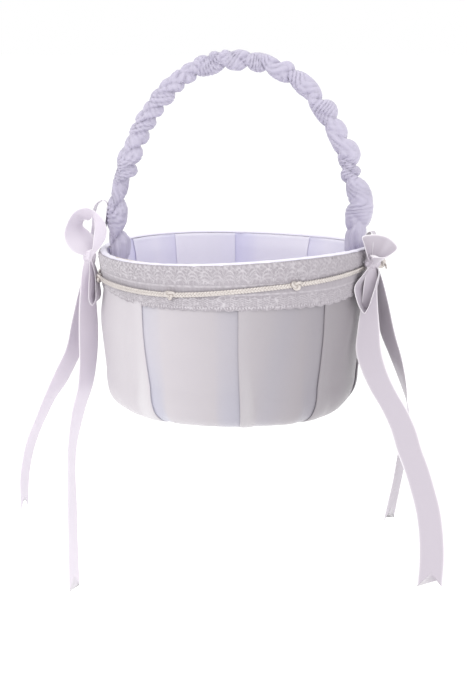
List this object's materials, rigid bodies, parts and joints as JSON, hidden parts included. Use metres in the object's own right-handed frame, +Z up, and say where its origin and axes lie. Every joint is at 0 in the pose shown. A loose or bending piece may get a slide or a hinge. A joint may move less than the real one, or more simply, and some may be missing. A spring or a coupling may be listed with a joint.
{
  "type": "flower girl basket",
  "caption": "Round satin-covered basket with a lace band and metallic cord at the rim, a ruched handle arch and ribbon bows with long swallowtail streamers.",
  "frame": {"origin": "middle of the hoop at the top of the handle, where the basket is carried", "axes": "+Z up, +X towards the handle's right foot, -Y towards the front"},
  "size_m": [0.2699, 0.1788, 0.3492],
  "materials": {
    "moulded_card": "moulded fibre, matt",
    "card_board": "grey-brown board",
    "cover_satin": "white satin, soft sheen",
    "lining_satin": "white satin, cool, soft sheen",
    "sleeve_satin": "ruched white satin",
    "wadding": "polyester wadding",
    "lace": "matt embroidered lace",
    "metallic_cord": "braided metallic thread, pale gold",
    "hoop_plastic": "white plastic hoop",
    "rivet_metal": "plain steel",
    "thread": "white sewing thread",
    "ribbon": "white satin ribbon with woven edges"
  },
  "bodies": {
    "root": {"core_shell": "moulded_card", "outer_satin": "cover_satin", "base_card": "card_board", "base_satin": "cover_satin", "lining_satin": "lining_satin", "floor_card": "card_board", "floor_wadding": "wadding", "floor_satin": "lining_satin", "rim_binding": "cover_satin", "lace_band": "lace", "trim_cord": "metallic_cord", "trim_knots": "metallic_cord", "cord_end_knot": "metallic_cord", "handle_hoop": "hoop_plastic", "handle_sleeve": "sleeve_satin", "handle_rivets": "rivet_metal", "left_upper_loop": "ribbon", "left_back_loop": "ribbon", "left_lower_loop": "ribbon", "left_knot": "ribbon", "left_tie": "thread", "right_upper_loop": "ribbon", "right_back_loop": "ribbon", "right_lower_loop": "ribbon", "right_knot": "ribbon", "right_tie": "thread"},
    "left_front_streamer": {"left_front_tail": "ribbon"},
    "left_back_streamer": {"left_back_tail": "ribbon"},
    "right_front_streamer": {"right_front_tail": "ribbon"},
    "right_back_streamer": {"right_back_tail": "ribbon"}
  },
  "joints": [
    {"name": "left_front_swing", "type": "hinge", "parent": "root", "child": "left_front_streamer", "pos_m": [-0.09222, -0.01132, -0.1235], "axis": [0, 1, 0], "range_deg": [-6, 60]},
    {"name": "left_back_swing", "type": "hinge", "parent": "root", "child": "left_back_streamer", "pos_m": [-0.09222, -0.01132, -0.1235], "axis": [0, 1, 0], "range_deg": [-12, 60]},
    {"name": "right_front_swing", "type": "hinge", "parent": "root", "child": "right_front_streamer", "pos_m": [0.08421, -0.03927, -0.1235], "axis": [0, -1, 0], "range_deg": [-2, 60]},
    {"name": "right_back_swing", "type": "hinge", "parent": "root", "child": "right_back_streamer", "pos_m": [0.08421, -0.03927, -0.1235], "axis": [0, -1, 0], "range_deg": [-12, 60]}
  ]
}
